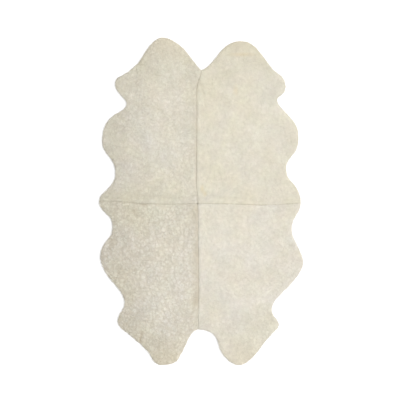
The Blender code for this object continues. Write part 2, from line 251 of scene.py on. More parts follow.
# Where the wool is a little lighter, duller, yellower or rustier: soft ellipses, each with the
# share of the red, green and blue that it leaves in its middle. A strength multiplies how far
# those shares are from 1, in a whole table.
PATCH_FADE = (0.3, 1.5)  # from full strength to none, in half widths from its middle
PATCH_EDGE = {"scale": 25.0, "detail": 3.0}
PATCH_RAGGEDNESS = 0.5
WIDE_STRENGTH = 1.4
SMALL_STRENGTH = 1.0
Patch = namedtuple("Patch", "pelt x y half_width half_length red green blue")
WIDE_PATCHES = (
    Patch("upper_left", -0.250, 0.460, 0.17, 0.22, 1.024, 1.027, 1.050),
    Patch("upper_left", -0.345, 0.280, 0.16, 0.13, 0.984, 0.992, 1.014),
    Patch("upper_left", -0.230, 0.745, 0.22, 0.12, 0.991, 0.995, 0.974),
    Patch("upper_left", -0.046, 0.515, 0.055, 0.45, 0.976, 0.976, 0.965),
    Patch("upper_left", -0.290, 0.020, 0.30, 0.10, 0.990, 0.996, 0.975),
    Patch("upper_right", 0.175, 0.800, 0.22, 0.16, 0.977, 0.977, 0.980),
    Patch("upper_right", 0.330, 0.690, 0.14, 0.15, 0.974, 0.976, 0.984),
    Patch("upper_right", 0.062, 0.660, 0.10, 0.18, 0.990, 0.983, 0.958),
    Patch("upper_right", 0.305, 0.400, 0.16, 0.28, 1.006, 1.010, 1.026),
    Patch("upper_right", 0.232, 0.828, 0.080, 0.012, 0.990, 0.950, 0.880),
    Patch("lower_left", -0.270, -0.060, 0.32, 0.13, 0.992, 1.000, 0.978),
    Patch("lower_left", -0.085, -0.263, 0.09, 0.17, 1.024, 1.024, 1.026),
    Patch("lower_left", -0.362, -0.275, 0.11, 0.13, 1.018, 1.018, 1.030),
    Patch("lower_left", -0.204, -0.557, 0.20, 0.21, 1.018, 1.026, 1.050),
    Patch("lower_left", -0.300, -0.795, 0.17, 0.14, 0.948, 0.950, 0.944),
    Patch("lower_left", -0.415, -0.725, 0.10, 0.10, 0.975, 0.975, 0.975),
    Patch("lower_right", 0.080, -0.055, 0.15, 0.05, 0.975, 0.972, 0.975),
    Patch("lower_right", 0.380, -0.300, 0.13, 0.25, 1.012, 1.018, 1.027),
    Patch("lower_right", 0.325, -0.730, 0.14, 0.16, 0.989, 0.990, 0.956),
    Patch("lower_right", 0.200, -0.720, 0.22, 0.18, 0.977, 0.977, 0.974),
)
SMALL_PATCHES = (
    Patch("upper_right", 0.006, 0.070, 0.013, 0.026, 0.986, 0.920, 0.800),
    Patch("upper_right", 0.021, 0.044, 0.014, 0.018, 0.986, 0.920, 0.800),
    Patch("upper_right", 0.195, 0.624, 0.018, 0.030, 0.988, 0.945, 0.850),
    Patch("upper_left", -0.440, 0.420, 0.080, 0.120, 0.955, 0.957, 0.952),
    Patch("upper_left", -0.215, 0.020, 0.120, 0.050, 0.950, 0.955, 0.950),
    Patch("upper_left", -0.325, 0.755, 0.070, 0.050, 0.955, 0.960, 0.950),
    Patch("upper_right", 0.118, 0.310, 0.070, 0.120, 0.975, 0.975, 0.978),
    Patch("upper_right", 0.350, 0.240, 0.080, 0.070, 1.030, 1.030, 1.045),
    Patch("upper_right", 0.080, 0.040, 0.120, 0.060, 0.965, 0.968, 0.970),
    Patch("lower_left", -0.360, -0.660, 0.120, 0.120, 0.960, 0.962, 0.965),
    Patch("lower_right", 0.100, -0.530, 0.120, 0.090, 0.955, 0.960, 0.950),
    Patch("lower_right", 0.500, -0.320, 0.060, 0.160, 0.955, 0.955, 0.960),
    Patch("upper_left", -0.330, 0.530, 0.060, 0.100, 0.968, 0.970, 0.970),
    Patch("upper_right", 0.385, 0.600, 0.060, 0.120, 0.968, 0.968, 0.972),
    Patch("upper_right", 0.045, 0.600, 0.050, 0.120, 0.980, 0.980, 0.975),
    Patch("lower_left", -0.330, -0.590, 0.100, 0.100, 0.968, 0.970, 0.975),
    Patch("lower_left", -0.280, -0.830, 0.100, 0.080, 0.960, 0.962, 0.960),
)

# The maps for a bake of the wool's colours.
BAKE_MAP = "OFBake"
MAP_SHARE = 0.94  # of the map's height for the top of a fleece, with its underside beyond
UNDERSIDE_SHARE = 0.8  # of the rest of the height, for the underside
UNDERSIDE_FACING = -0.95  # faces that point further down than this are on the underside

# The camera looks straight down on the rug.
PHOTO_PIXELS = 400
RUG_PIXELS = 327.4  # the rug's length in the image
RUG_CENTRE_PIXEL = (201.1, 201.5)
LENS = 85.0
SENSOR = 36.0

# The light: a large soft one to the rug's right, and an even white surrounding.
KEY_PLACE = (5.6, 0.6, 7.4)
KEY_SIZE = 4.0
KEY_POWER = 400.0
SURROUND = 1.04
FLOOR_SIZE = 60.0
FLOOR_WHITE = 0.98
FLOOR_DROP = 0.0002  # how far under the hides it lies, clear of them


def vertex_array(mesh, what="co"):
    """Every vertex's place or normal, one row each."""
    flat = np.empty(len(mesh.vertices) * 3)
    if what == "co":
        mesh.vertices.foreach_get("co", flat)
    else:
        mesh.vertex_normals.foreach_get("vector", flat)
    return flat.reshape(-1, 3)


def add_object(name, mesh, material):
    """A new object with one material, smoothly shaded."""
    mesh.name = name
    mesh.materials.clear()
    mesh.materials.append(material)
    mesh.shade_smooth()
    obj = bpy.data.objects.new(name, mesh)
    bpy.context.scene.collection.objects.link(obj)
    return obj


def triangle_mesh(name, points, triangles):
    """A mesh from rows of points and rows of three indices."""
    mesh = bpy.data.meshes.new(name)
    mesh.vertices.add(len(points))
    mesh.vertices.foreach_set("co", points.astype(np.float32).ravel())
    mesh.loops.add(triangles.size)
    mesh.loops.foreach_set("vertex_index", triangles.astype(np.int32).ravel())
    mesh.polygons.add(len(triangles))
    mesh.polygons.foreach_set("loop_start", np.arange(0, triangles.size, 3, dtype=np.int32))
    mesh.update(calc_edges=True)
    mesh.validate()
    return mesh


def set_attribute(mesh, name, values, kind="FLOAT"):
    """A number or a vector for each vertex, which a material can read."""
    attribute = mesh.attributes.new(name, kind, "POINT")
    field = "value" if kind == "FLOAT" else "vector"
    attribute.data.foreach_set(field, values.astype(np.float32).ravel())


def tree_of(points):
    """A search tree over rows of points."""
    tree = KDTree(len(points))
    for index, point in enumerate(points):
        tree.insert(point, index)
    tree.balance()
    return tree


def nearest_distance(tree, points):
    """How far each point is from the nearest one in the tree."""
    return np.array([tree.find(point)[2] for point in points])


def ease(share):
    """0 to 1 with level ends."""
    return 0.5 - 0.5 * np.cos(pi * np.clip(share, 0.0, 1.0))


def noise_at(points, spacing, layer):
    """Smooth noise of about -1 to 1 whose lumps are a spacing apart."""
    offset = Vector([layer * step for step in LAYER_STEP])
    return np.array([noise.noise(Vector(point) / spacing + offset) for point in points])


def unit(vectors):
    """Vectors of length 1."""
    return vectors / np.linalg.norm(vectors, axis=-1, keepdims=True)


def area_of(loop):
    """The area inside a closed loop, above 0 where it runs anticlockwise from above."""
    x, y = loop[:, 0], loop[:, 1]
    return (x * np.roll(y, -1) - np.roll(x, -1) * y).sum() / 2


# ---- Materials ------------------------------------------------------------------------------


class Nodes:
    """Adds the nodes of one material, with short calls."""

    def __init__(self, name):
        self.material = bpy.data.materials.new(name)
        self.material.use_nodes = True
        self.tree = self.material.node_tree
        self.shader = self.tree.nodes["Principled BSDF"]

    def add(self, kind, settings=None, **inputs):
        """A node of a kind, with its settings and its inputs by name, either values or links."""
        node = self.tree.nodes.new("ShaderNode" + kind)
        for name, value in (settings or {}).items():
            setattr(node, name, value)
        for name, value in inputs.items():
            socket = node.inputs[int(name[1:]) if name[0] == "i" and name[1:].isdigit() else name]
            if isinstance(value, bpy.types.NodeSocket):
                self.tree.links.new(value, socket)
            else:
                socket.default_value = value
        return node

    def math(self, operation, first, second=0.0):
        """The result of a sum, product or the like of two values."""
        return self.add("Math", {"operation": operation}, i0=first, i1=second).outputs[0]

    def map_range(self, value, low, high, new_low, new_high):
        """A value moved from one range to another."""
        node = self.add("MapRange", None, Value=value)
        limits = {"From Min": low, "From Max": high, "To Min": new_low, "To Max": new_high}
        for name, limit in limits.items():
            node.inputs[name].default_value = limit
        return node.outputs["Result"]

    def noise(self, scale, detail=2.0, roughness=0.5, place=None, swirl=0.0):
        """A noise over the object's own coordinates, or others, its lumps 1/scale apart."""
        place = place or self.add("TexCoord").outputs["Object"]
        node = self.add("TexNoise", None, Vector=place, Scale=scale, Detail=detail)
        node.inputs["Roughness"].default_value = roughness
        node.inputs["Distortion"].default_value = swirl
        return node.outputs["Fac"]

    def drift(self, drift, place=None):
        """A drift's noise, over the object's own coordinates or others, in its new range."""
        lumps = self.noise(drift.scale, drift.detail, drift.roughness, place)
        return self.map_range(lumps, drift.low, drift.high, drift.first, drift.last)

    def multiply(self, first, second):
        """The product of two colours or vectors, number by number."""
        return self.add("VectorMath", {"operation": "MULTIPLY"}, i0=first, i1=second).outputs[0]

    def scale_colour(self, colour, factor):
        """A colour made lighter or darker by a factor."""
        return self.add("VectorMath", {"operation": "SCALE"}, i0=colour, Scale=factor).outputs[0]

    def mix(self, factor, first, second):
        """A blend of two colours."""
        node = self.add("Mix", {"data_type": "RGBA"}, Factor=factor)
        for index, value in ((6, first), (7, second)):
            if isinstance(value, bpy.types.NodeSocket):
                self.tree.links.new(value, node.inputs[index])
            else:
                node.inputs[index].default_value = value
        return node.outputs[2]

    def bump(self, height, strength, distance):
        """Sends a height to the shader's normal."""
        node = self.add("Bump", None, Height=height, Strength=strength, Distance=distance)
        self.tree.links.new(node.outputs["Normal"], self.shader.inputs["Normal"])

    def colour(self, socket):
        """Sends a colour to the shader's base colour."""
        self.tree.links.new(socket, self.shader.inputs["Base Color"])

    def fixed(self, **values):
        """Sets numbers or colours on the shader's own sockets."""
        for name, value in values.items():
            self.shader.inputs[name.replace("_", " ")].default_value = value


def patches_of(pelt):
    """The patches of one pelt, each with the colour that it leaves of white in its middle."""
    for patches, strength in ((WIDE_PATCHES, WIDE_STRENGTH), (SMALL_PATCHES, SMALL_STRENGTH)):
        for patch in patches:
            if patch.pelt == pelt:
                shares = (patch.red, patch.green, patch.blue)
                yield patch, (*(1.0 + strength * (share - 1.0) for share in shares), 1.0)


def with_patches(nodes, tone, pelt):
    """A tone with the patches of a pelt laid over it, their edges ragged."""
    place = nodes.add("TexCoord").outputs["Object"]
    ragged = nodes.math("MULTIPLY", nodes.noise(**PATCH_EDGE), PATCH_RAGGEDNESS)
    for patch, colour in patches_of(pelt):
        scaled = nodes.multiply(place, (1.0 / patch.half_width, 1.0 / patch.half_length, 0.0))
        middle = (patch.x / patch.half_width, patch.y / patch.half_length, 0.0)
        far = nodes.add("VectorMath", {"operation": "DISTANCE"}, i0=scaled, i1=middle)
        far = nodes.math("ADD", far.outputs["Value"], ragged)
        left = nodes.map_range(far, *PATCH_FADE, 1.0, 0.0)
        tone = nodes.multiply(tone, nodes.mix(left, (1.0, 1.0, 1.0, 1.0), colour))
    return tone


def wool_material(fleece):
    """Wool of one pelt: cream, with painted shade at its roots, cloudy from place to place,
    fibrous.
    """
    nodes = Nodes("wool_" + fleece.pelt)
    cream = (fleece.red, fleece.green, fleece.blue, 1.0)
    yellowed, browned, root_shade_tone = (
        tuple(part * share for part, share in zip(cream, cast))
        for cast in (YELLOWED, BROWNED, PAINTED_ROOT_SHADE)
    )
    tone = nodes.mix(nodes.drift(YELLOWING), cream, yellowed)
    tone = nodes.multiply(tone, nodes.mix(nodes.drift(CASTS), ROSY, OLIVE))
    place = nodes.add("TexCoord").outputs["Object"]
    across, lengthwise, up = nodes.add("SeparateXYZ", None, Vector=place).outputs
    neck = nodes.map_range(nodes.math("ABSOLUTE", lengthwise), *NECK_REACH, 0.0, NECK_BROWNNESS)
    tone = nodes.mix(neck, tone, browned)
    tone = with_patches(nodes, tone, fleece.pelt)
    # Painted shade down in the wool: towards the roots, in partings, creases and beside seams.
    open_share = nodes.add("Attribute", {"attribute_name": "tip"}).outputs["Fac"]
    root_shade_share = nodes.map_range(open_share, 0.0, 1.0, ROOT_SHADE * fleece.shade, 0.0)
    tone = nodes.mix(root_shade_share, tone, root_shade_tone)

    # Painted shade towards the flank, and painted light there where its share is below 0.
    off_spine = nodes.math("ABSOLUTE", across)
    flank_shading = nodes.map_range(off_spine, *FLANK_REACH, 1.0, 1.0 - fleece.flank)
    curls = nodes.noise(**CURLS)
    # Painted shade in each furrow of the curls' bump, painted light on their tops.
    in_furrow = 1.0 - FURROW_SHADE * fleece.shade
    furrow_shading = nodes.map_range(curls, *CURL_RANGE, in_furrow, FURROW_LIGHT)
    strand = nodes.add("Attribute", {"attribute_name": "strand"}).outputs["Vector"]
    streaks = nodes.drift(STREAKS, strand)
    # Painted shade down the rim where the wool rolls over.
    rim_shading = nodes.map_range(up, *RIM_RISE, 1.0 - RIM_SHADE, 1.0)
    for factor in (nodes.drift(CLOUDS), nodes.drift(TUFTS), flank_shading, furrow_shading, streaks, rim_shading):
        tone = nodes.scale_colour(tone, factor)
    nodes.colour(tone)
    fibres = nodes.noise(place=strand, **FIBRES)
    relief = nodes.math("ADD", fibres, nodes.math("MULTIPLY", curls, CURL_HEIGHT))
    nodes.bump(relief, *FIBRE_BUMP)
    nodes.fixed(Roughness=0.95, Sheen_Weight=0.20, Sheen_Roughness=0.6)
    nodes.fixed(Sheen_Tint=(1.0, 0.92, 0.76, 1.0), Specular_IOR_Level=0.1)
    return nodes.material


def suede_material():
    """The hide's flesh side: pale, matt, slightly blotched, with a short nap."""
    nodes = Nodes("suede")
    tone = nodes.mix(nodes.drift(BLOTCHES), SUEDE_PALE, SUEDE_DULL)
    nap = nodes.noise(**NAP)
    # Painted shade in the nap's hollows, painted light on its tops.
    nodes.colour(nodes.scale_colour(tone, nodes.map_range(nap, *NAP_RANGE, *NAP_LIGHT)))
    nodes.bump(nap, *NAP_BUMP)
    nodes.fixed(Roughness=0.9, Sheen_Weight=0.3, Sheen_Roughness=0.5)
    return nodes.material


def thread_material():
    """Waxed thread, twisted from plies."""
    nodes = Nodes("thread")
    plies = nodes.noise(**PLIES)
    nodes.colour(nodes.mix(plies, THREAD_PALE, THREAD_DULL))
    nodes.bump(plies, *PLY_BUMP)
    nodes.fixed(Roughness=0.6)
    return nodes.material


def floor_material():
    """A plain pale floor."""
    nodes = Nodes("pale_floor")
    white = (FLOOR_WHITE, FLOOR_WHITE, FLOOR_WHITE, 1.0)
    nodes.fixed(Base_Color=white, Roughness=0.9, Specular_IOR_Level=0.0)
    return nodes.material


# ---- The outline of a hide, and the seams ---------------------------------------------------


def hide_outline(node):
    """The corners of a pelt's flat underside, in order, anticlockwise from above."""
    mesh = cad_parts[node].data
    points = vertex_array(mesh)
    names = {}
    rounded = points.round(PLACE_DIGITS).tolist()
    index = [names.setdefault(tuple(point), len(names)) for point in rounded]
    directed = set()
    for face in mesh.polygons:
        if all(points[v][2] < ON_FLOOR for v in face.vertices):
            corners = [index[v] for v in face.vertices]
            directed.update(zip(corners, corners[1:] + corners[:1]))
    following = {a: b for a, b in directed if (b, a) not in directed}
    corner = min(following)
    ordered = [corner]
    while following[ordered[-1]] != corner:
        ordered.append(following[ordered[-1]])
    places = list(names)
    outline = np.array([places[c] for c in ordered])
    return outline if area_of(outline) > 0.0 else outline[::-1].copy()


def seam_lines(outlines):
    """The line of each seam: where two hides' edges lie together, as rows of points."""
    lines = []
    names = sorted(outlines)
    for i, first in enumerate(names):
        for second in names[i + 1:]:
            tree = tree_of(outlines[second])
            shared = nearest_distance(tree, outlines[first]) < SEAM_REACH
            if shared.sum() > 2:
                start = np.flatnonzero(shared & ~np.roll(shared, 1))[0]
                order = (start + np.arange(shared.sum())) % len(shared)
                lines.append(outlines[first][order])
    return lines


def along(line, step):
    """Points a step apart along a line of points."""
    lengths = np.linalg.norm(np.diff(line, axis=0), axis=1)
    travelled = np.concatenate([[0.0], np.cumsum(lengths)])
    stops = np.linspace(0.0, travelled[-1], max(2, round(travelled[-1] / step) + 1))
    return np.column_stack([np.interp(stops, travelled, line[:, axis]) for axis in range(3)])


# ---- Pieces ---------------------------------------------------------------------------------


def inset_loop(loop, distance):
    """A closed loop moved inwards, by one distance or by one for each corner."""
    edges = np.roll(loop, -1, axis=0) - loop
    edges /= np.linalg.norm(edges, axis=1)[:, None]
    after = np.column_stack([-edges[:, 1], edges[:, 0], 0.0 * edges[:, 0]])
    mean = after + np.roll(after, 1, axis=0)
    normals = 2.0 * mean / (mean * mean).sum(axis=1)[:, None]
    return loop + normals * np.reshape(distance, (-1, 1))


def hide_piece(name, outline, seam_tree, material):
    """One hide: a thin sheet with bevelled edges, pared from below along its seams."""
    sewn = nearest_distance(seam_tree, outline) < SEAM_REACH
    rounding = np.where(sewn, SEAM_RECESS_WIDTH, HIDE_THICKNESS / 2)
    lift = np.where(sewn, SEAM_RECESS, HIDE_THICKNESS / 4)
    inner = inset_loop(outline, rounding)
    edge = outline + [0.0, 0.0, 1.0] * lift[:, None]
    top = outline + [0.0, 0.0, HIDE_THICKNESS]
    bm = bmesh.new()
    rings = [[bm.verts.new(point) for point in ring] for ring in (inner, edge, top)]
    for lower, upper in zip(rings, rings[1:]):
        for i in range(len(lower)):
            after = (i + 1) % len(lower)
            bm.faces.new((lower[i], lower[after], upper[after], upper[i]))
    bm.faces.new(rings[0][::-1])
    bm.faces.new(rings[-1])
    bm.normal_update()
    bmesh.ops.triangulate(bm, faces=[face for face in bm.faces if len(face.verts) > 4])
    mesh = bpy.data.meshes.new(name)
    bm.to_mesh(mesh)
    bm.free()
    obj = add_object(name, mesh, material)
    mesh.set_sharp_from_angle(angle=radians(HIDE_SHARP_ANGLE))
    return obj


def clumps(points, fleece, seam_tree):
    """How far the wool stands proud at each point, and how open it is there, for painted shade.

    The second is 1 where the wool's tips show and less down in a parting, a crease or a seam.
    """
    rise = np.empty(len(points))
    for index, point in enumerate(points):
        place = Vector(point) / CLUMP_SPACING + Vector((fleece.seed, 0.0, 0.0))
        place += WARP * noise.noise_vector(Vector(point) / WARP_SPACING)
        nearest, next_nearest = noise.voronoi(place)[0][:2]
        rise[index] = (next_nearest - nearest) / PARTING_SHARE
    clump = ease(rise)
    swell = noise_at(points, SWELL_SPACING, fleece.seed)
    rise = fleece.relief * (CLUMP_RELIEF * (clump - CLUMP_BASE) + SWELL_RELIEF * swell)
    # Less open, so with painted shade, down in a parting.
    open_share = PARTING_OPENNESS + (1.0 - PARTING_OPENNESS) * clump

    from_seam = nearest_distance(seam_tree, points * [1.0, 1.0, 0.0])
    rise *= ease(from_seam / SEAM_SOFTENING)
    # Painted shade beside the seams, patchy.
    patchy = SEAM_SHADE * (1.0 + noise_at(points, SWELL_SPACING, SEAM_SHADE_LAYER))
    open_share *= 1.0 - patchy * np.exp(-((from_seam / SEAM_SHADOW) ** 2))
    for crease in (crease for crease in CREASES if crease.pelt == fleece.pelt):
        start = np.array([crease.x1, crease.y1])
        run = np.array([crease.x2, crease.y2]) - start
        share = np.clip((points[:, :2] - start) @ run / (run @ run), 0.0, 1.0)
        away = np.linalg.norm(points[:, :2] - start - share[:, None] * run, axis=1)
        trough = np.exp(-((away / crease.width) ** 2))
        rise -= crease.depth * trough
        # Painted shade in the middle of the crease.
        open_share *= 1.0 - crease.shade * trough
    return rise, open_share


def fleece_piece(name, node, seam_tree, fleece, material):
    """The body of one pelt's wool, from its solid, in clumps."""
    source = bpy.data.objects.new("source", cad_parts[node].data.copy())
    bpy.context.scene.collection.objects.link(source)
    even = source.modifiers.new("even", "REMESH")
    even.mode = "VOXEL"
    even.voxel_size = FACET
    smooth = source.modifiers.new("smooth", "SMOOTH")
    smooth.factor = SMOOTHING
    smooth.iterations = SMOOTHING_ROUNDS
    bm = bmesh.new()
    bm.from_mesh(evaluated_mesh(source))
    bpy.data.objects.remove(source)
    under = [face for face in bm.faces if max(v.co.z for v in face.verts) < LOWEST_WOOL]
    bmesh.ops.dissolve_faces(bm, faces=under, use_verts=True)
    bmesh.ops.triangulate(bm, faces=bm.faces)
    mesh = bpy.data.meshes.new(name)
    bm.to_mesh(mesh)
    bm.free()

    points, normals = vertex_array(mesh), vertex_array(mesh, "normal")
    points = close_seams(points, seam_tree, vertex_array(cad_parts[node].data))
    from_seam = nearest_distance(seam_tree, points * [1.0, 1.0, 0.0])
    toward_top = np.outer(1.0 - ease(from_seam / SEAM_SOFTENING), [0.0, 0.0, SEAM_UPRIGHT])
    normals = unit(normals + toward_top)
    rise, open_share = clumps(points, fleece, seam_tree)
    rise[points[:, 2] < LOWEST_WOOL] = 0.0
    points += normals * rise[:, None]
    points[:, 2] = np.maximum(points[:, 2], HIDE_THICKNESS * FLEECE_BOTTOM)
    mesh.vertices.foreach_set("co", points.astype(np.float32).ravel())
    set_attribute(mesh, "tip", FLEECE_TIP * open_share)
    set_attribute(mesh, "strand", points, "FLOAT_VECTOR")
    map_from_above(mesh, points)
    return add_object(name, mesh, material)


def evaluated_mesh(obj):
    """An object's mesh as its modifiers leave it."""
    return obj.evaluated_get(bpy.context.evaluated_depsgraph_get()).to_mesh()


def map_from_above(mesh, points):
    """Lays the bake's map over a piece from above, with its flat underside off in a strip."""
    low, high = points.min(axis=0), points.max(axis=0)
    share = (points - low)[:, :2] / (high - low)[:2]
    corners = np.empty(len(mesh.loops), dtype=np.int32)
    mesh.loops.foreach_get("vertex_index", corners)
    facing = np.empty(len(mesh.polygons) * 3)
    mesh.polygons.foreach_get("normal", facing)
    under = np.repeat(facing.reshape(-1, 3)[:, 2] < UNDERSIDE_FACING, 3)
    uv = share[corners] * [1.0, MAP_SHARE]
    uv[under, 1] = 1.0 - (1.0 - MAP_SHARE) * UNDERSIDE_SHARE * share[corners[under], 1]
    layer = mesh.uv_layers.new(name=BAKE_MAP)
    layer.uv.foreach_set("vector", uv.astype(np.float32).ravel())


def close_seams(points, seam_tree, solid_points):
    """Points below the lip of a seam and within reach of its wall, moved up to the wall."""
    on_seam = nearest_distance(seam_tree, solid_points * [1.0, 1.0, 0.0]) < SEAM_REACH
    lips = solid_points[on_seam & (solid_points[:, 2] > LOWEST_LIP)]
    lip_tree = tree_of(lips * [1.0, 1.0, 0.0])
    moved = points.copy()
    for index, (x, y, z) in enumerate(points):
        place, _, distance = seam_tree.find((x, y, 0.0))
        lip = lips[lip_tree.find((x, y, 0.0))[1]][2]
        if SEAM_OVERLAP < distance < WALL_REACH and z < lip - LIP_DROP:
            share = -SEAM_OVERLAP / distance
            moved[index] = (place.x + (x - place.x) * share, place.y + (y - place.y) * share, z)
    return moved


def surface_of(bodies):
    """One search tree over the faces of several pieces."""
    points, faces = [], []
    for body in bodies:
        first = len(points)
        points.extend(vertex.co.copy() for vertex in body.data.vertices)
        faces.extend([first + v for v in face.vertices] for face in body.data.polygons)
    return BVHTree.FromPolygons(points, faces)


def scattered(body, spacing, seed):
    """Points all over an object, none closer than a spacing to another, and its normals there."""
    group = bpy.data.node_groups.new("scatter", "GeometryNodeTree")
    for way in ("INPUT", "OUTPUT"):
        group.interface.new_socket("Geometry", in_out=way, socket_type="NodeSocketGeometry")
    kinds = (
        "NodeGroupInput",
        "GeometryNodeDistributePointsOnFaces",
        "GeometryNodeStoreNamedAttribute",
        "GeometryNodePointsToVertices",
        "NodeGroupOutput",
    )
    chain = [group.nodes.new(kind) for kind in kinds]
    for before, after in zip(chain, chain[1:]):
        group.links.new(before.outputs[0], after.inputs[0])
    spread, store = chain[1:3]
    spread.distribute_method = "POISSON"
    spread.inputs["Distance Min"].default_value = spacing
    spread.inputs["Density Max"].default_value = MOST_LOCKS
    spread.inputs["Seed"].default_value = seed
    store.data_type = "FLOAT_VECTOR"
    store.inputs["Name"].default_value = "up"
    group.links.new(spread.outputs["Normal"], store.inputs["Value"])
    scatter = body.modifiers.new("scatter", "NODES")
    scatter.node_group = group
    mesh = evaluated_mesh(body)
    points, ups = vertex_array(mesh), np.empty(len(mesh.vertices) * 3)
    mesh.attributes["up"].data.foreach_get("vector", ups)
    body.modifiers.remove(scatter)
    return points, ups.reshape(-1, 3)


def lock_places(body, seam_tree, fleece):
    """Where the locks of one pelt stand, and which way is up there."""
    places, ups = scattered(body, LOCK_SPACING, fleece.seed)
    from_seam = nearest_distance(seam_tree, places * [1.0, 1.0, 0.0])
    steepest = np.where(from_seam < SEAM_SOFTENING, STEEPEST_AT_SEAM, STEEPEST)
    chosen = (places[:, 2] > LOWEST_WOOL) & (ups[:, 2] > steepest)
    return places[chosen], ups[chosen]


def tufts_at(places, fleece):
    """For each place the middle of its tuft, and two numbers of -1 to 1 that its locks share."""
    offset = Vector((0.0, fleece.seed, 0.0))
    middles = [noise.voronoi(Vector(place) / TUFT_SPACING + offset)[1][0] for place in places]
    own = [[noise.cell(middle * spread) for spread in TUFT_HASHES] for middle in middles]
    return np.array([(middle - offset) * TUFT_SPACING for middle in middles]), np.array(own)


def cross_seams(places, middles, own, seam_tree, random):
    """Turns some of the locks beside a seam to lie across it, more in some stretches of it."""
    flat = places * [1.0, 1.0, 0.0]
    patchiness = CROSSING_PATCHINESS * noise_at(flat, SWELL_SPACING, CROSSING_LAYER)
    patchy = CROSSING_SHARE * (1.0 + patchiness)
    close = nearest_distance(seam_tree, flat) < CROSSING_REACH
    for index in np.flatnonzero(close & (random.uniform(0.0, 1.0, len(places)) < patchy)):
        middles[index] = seam_tree.find(flat[index])[0]
        middles[index, 2] = places[index, 2]
        own[index, 0] *= CROSSING_SWIRL


def lock_lines(places, ups, middles, swirls, surface, lifts, random):
    """The middle line of every lock over the wool, and which way is up along it."""
    count = len(places)
    inwards = middles - places
    inwards -= (inwards * ups).sum(axis=1, keepdims=True) * ups
    ahead = unit(inwards)[:, None]
    beside = np.cross(ups, ahead[:, 0])[:, None]
    share = np.linspace(0.0, 1.0, LOCK_RINGS + 2)
    between = (share[:-1] + share[1:]) / 2 - 0.5
    bend = np.copysign(pi * random.uniform(*BEND_SPREAD, count), swirls)[:, None]
    heading = MOST_SWIRL * swirls + random.normal(0.0, TUFT_SPREAD, count)
    angle = heading[:, None] + bend * between
    length = LOCK_LENGTH * random.uniform(*LENGTH_SPREAD, (count, 1))
    forward = np.cumsum(np.cos(angle), axis=1) * length / len(between)
    sideways = np.cumsum(np.sin(angle), axis=1) * length / len(between)
    forward, sideways = (np.pad(way, ((0, 0), (1, 0))) for way in (forward, sideways))
    forward -= forward.mean(axis=1, keepdims=True)
    sideways -= sideways.mean(axis=1, keepdims=True)
    flat = places[:, None] + forward[..., None] * ahead + sideways[..., None] * beside

    found = [surface.find_nearest(point)[:2] for point in flat.reshape(-1, 3)]
    ground = np.array([place for place, _ in found])
    slope = np.array([normal for _, normal in found])
    up = unit(slope + LOCK_UPRIGHT * np.repeat(ups, len(share), axis=0))
    lift = (lifts * random.uniform(*LIFT_SPREAD, count))[:, None]
    rise = LOCK_ROOT + (lift - LOCK_ROOT) * np.sin(LOCK_ARCH * pi * share) ** LOCK_ARCH_POWER
    line = ground + rise.reshape(-1, 1) * up
    return line.reshape(-1, len(share), 3), up.reshape(-1, len(share), 3)


def lock_faces():
    """The triangles of one lock, and the place of each corner in the lock's cell of a map."""
    last = 1 + LOCK_RINGS * LOCK_SIDES
    faces, cells = [], []
    for side in range(LOCK_SIDES):
        after = (side + 1) % LOCK_SIDES
        low, high = side / LOCK_SIDES, (side + 1) / LOCK_SIDES
        middle = (low + high) / 2
        step = 1.0 / (LOCK_RINGS + 1)
        end = 1.0 - step
        faces.append((0, 1 + after, 1 + side))
        cells.append(((0.0, middle), (step, high), (step, low)))
        faces.append((last, last - LOCK_SIDES + side, last - LOCK_SIDES + after))
        cells.append(((1.0, middle), (end, low), (end, high)))
        for ring in range(LOCK_RINGS - 1):
            here = 1 + ring * LOCK_SIDES
            there = here + LOCK_SIDES
            near, far = (ring + 1) * step, (ring + 2) * step
            faces.append((here + side, here + after, there + after))
            cells.append(((near, low), (near, high), (far, high)))
            faces.append((here + side, there + after, there + side))
            cells.append(((near, low), (far, high), (far, low)))
    return np.array(faces), np.array(cells)


def with_ends(root, sides, tip):
    """One row of corners for each lock: its root, round each of its rings, and its tip."""
    rings = np.stack(sides, axis=2)
    return np.concatenate([root, rings.reshape(len(rings), -1, rings.shape[-1]), tip], axis=1)


def lock_sections(line, up, girth, turn, depth):
    """The corners of every lock, and which way each is shaded to face on top and underneath.

    The last result is each corner's place across its lock, for the fibres.
    """
    share = np.linspace(0.0, 1.0, LOCK_RINGS + 2)[1:-1]
    ahead = unit(line[:, 2:] - line[:, :-2])
    left = unit(np.cross(up[:, 1:-1], ahead))
    top = np.cross(ahead, left)
    radius = (girth * (LOCK_FULLNESS * (1.0 - share) ** LOCK_TAPER))[..., None]
    corners, facings, places_in = [], [], []
    for side in range(LOCK_SIDES):
        around = pi / 2 + 2.0 * pi * side / LOCK_SIDES
        turned = turn * np.cos(around) / np.cos(pi / 6)
        facings.append(np.sin(turned) * left + np.cos(turned) * top)
        offset = LOCK_BREADTH * np.cos(around) * left + depth * np.sin(around) * top
        corners.append(line[:, 1:-1] + offset * radius)
        places_in.append(radius * np.array([np.cos(around), np.sin(around)]))
    points = with_ends(line[:, :1], corners, line[:, -1:])
    points[..., 2] = np.maximum(points[..., 2], LOWEST_LOCK)
    facings = with_ends(top[:, :1], facings, top[:, -1:])
    downs = with_ends(-top[:, :1], [-top] * LOCK_SIDES, -top[:, -1:])
    on_line = np.zeros((len(line), 1, 2))
    return points, facings, downs, with_ends(on_line, places_in, on_line)


def lock_tips():
    """How near to the tips of the wool each corner of a lock counts as."""
    rings = np.outer(np.linspace(*RING_TIPS, LOCK_RINGS), SIDE_TIPS)
    return np.concatenate([[ROOT_TIP], rings.ravel(), [END_TIP]])


